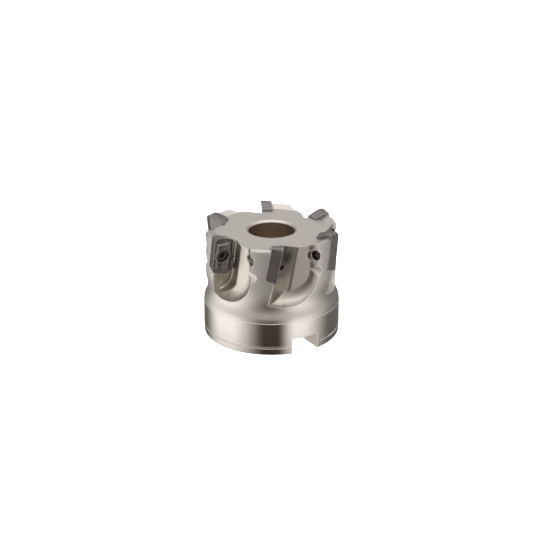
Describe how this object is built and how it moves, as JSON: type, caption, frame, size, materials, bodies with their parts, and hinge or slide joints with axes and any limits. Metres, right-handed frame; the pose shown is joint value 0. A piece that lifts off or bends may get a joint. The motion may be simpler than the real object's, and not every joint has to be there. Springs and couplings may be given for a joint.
{
  "type": "indexable face mill",
  "caption": "Arbor-mounted face mill with screwed-on cutting inserts around a stepped steel body, a face recess and a cross drive slot.",
  "frame": {"origin": "centre of the drive face, the ring at the back of the cutter that sits on the arbor", "axes": "+Z along the rotation axis towards the cutting face; the drive slot runs across the axis about 60 degrees clockwise from +X seen from +Z"},
  "size_m": [0.0484, 0.0494, 0.04],
  "materials": {
    "nickel_steel": "satin nickel plated",
    "coated_carbide": "dark coated carbide",
    "blackened_steel": "blackened"
  },
  "bodies": {
    "cutter_body": {"cutter_body": "nickel_steel"},
    "cutting_insert_1": {"cutting_insert_1": "coated_carbide"},
    "insert_screw_1": {"insert_screw_1": "blackened_steel"},
    "cutting_insert_2": {"cutting_insert_2": "coated_carbide"},
    "insert_screw_2": {"insert_screw_2": "blackened_steel"},
    "cutting_insert_3": {"cutting_insert_3": "coated_carbide"},
    "insert_screw_3": {"insert_screw_3": "blackened_steel"},
    "cutting_insert_4": {"cutting_insert_4": "coated_carbide"},
    "insert_screw_4": {"insert_screw_4": "blackened_steel"},
    "cutting_insert_5": {"cutting_insert_5": "coated_carbide"},
    "insert_screw_5": {"insert_screw_5": "blackened_steel"},
    "cutting_insert_6": {"cutting_insert_6": "coated_carbide"},
    "insert_screw_6": {"insert_screw_6": "blackened_steel"}
  },
  "joints": [
    {"name": "insert_lift_1", "type": "slide", "parent": "cutter_body", "child": "cutting_insert_1", "axis": [0.9826, 0.0274, -0.184], "range_m": [0, 0.003]},
    {"name": "screw_turn_1", "type": "hinge", "parent": "cutting_insert_1", "child": "insert_screw_1", "pos_m": [0.00267, -0.02089, 0.03253], "axis": [0.9826, 0.0274, -0.184], "range_deg": [0, 1800]},
    {"name": "insert_lift_2", "type": "slide", "parent": "cutter_body", "child": "cutting_insert_2", "axis": [0.4675, 0.8646, -0.184], "range_m": [0, 0.003]},
    {"name": "screw_turn_2", "type": "hinge", "parent": "cutting_insert_2", "child": "insert_screw_2", "pos_m": [0.01942, -0.00814, 0.03253], "axis": [0.4675, 0.8646, -0.184], "range_deg": [0, 1800]},
    {"name": "insert_lift_3", "type": "slide", "parent": "cutter_body", "child": "cutting_insert_3", "axis": [-0.515, 0.8372, -0.184], "range_m": [0, 0.003]},
    {"name": "screw_turn_3", "type": "hinge", "parent": "cutting_insert_3", "child": "insert_screw_3", "pos_m": [0.01676, 0.01275, 0.03253], "axis": [-0.515, 0.8372, -0.184], "range_deg": [0, 1800]},
    {"name": "insert_lift_4", "type": "slide", "parent": "cutter_body", "child": "cutting_insert_4", "axis": [-0.9826, -0.0274, -0.184], "range_m": [0, 0.003]},
    {"name": "screw_turn_4", "type": "hinge", "parent": "cutting_insert_4", "child": "insert_screw_4", "pos_m": [-0.00267, 0.02089, 0.03253], "axis": [-0.9826, -0.0274, -0.184], "range_deg": [0, 1800]},
    {"name": "insert_lift_5", "type": "slide", "parent": "cutter_body", "child": "cutting_insert_5", "axis": [-0.4675, -0.8646, -0.184], "range_m": [0, 0.003]},
    {"name": "screw_turn_5", "type": "hinge", "parent": "cutting_insert_5", "child": "insert_screw_5", "pos_m": [-0.01942, 0.00814, 0.03253], "axis": [-0.4675, -0.8646, -0.184], "range_deg": [0, 1800]},
    {"name": "insert_lift_6", "type": "slide", "parent": "cutter_body", "child": "cutting_insert_6", "axis": [0.515, -0.8372, -0.184], "range_m": [0, 0.003]},
    {"name": "screw_turn_6", "type": "hinge", "parent": "cutting_insert_6", "child": "insert_screw_6", "pos_m": [-0.01676, -0.01275, 0.03253], "axis": [0.515, -0.8372, -0.184], "range_deg": [0, 1800]}
  ],
  "couplings": [
    {"joint": "screw_turn_1", "follows": "insert_lift_1", "rad_per_m": 10472},
    {"joint": "screw_turn_2", "follows": "insert_lift_2", "rad_per_m": 10472},
    {"joint": "screw_turn_3", "follows": "insert_lift_3", "rad_per_m": 10472},
    {"joint": "screw_turn_4", "follows": "insert_lift_4", "rad_per_m": 10472},
    {"joint": "screw_turn_5", "follows": "insert_lift_5", "rad_per_m": 10472},
    {"joint": "screw_turn_6", "follows": "insert_lift_6", "rad_per_m": 10472}
  ]
}
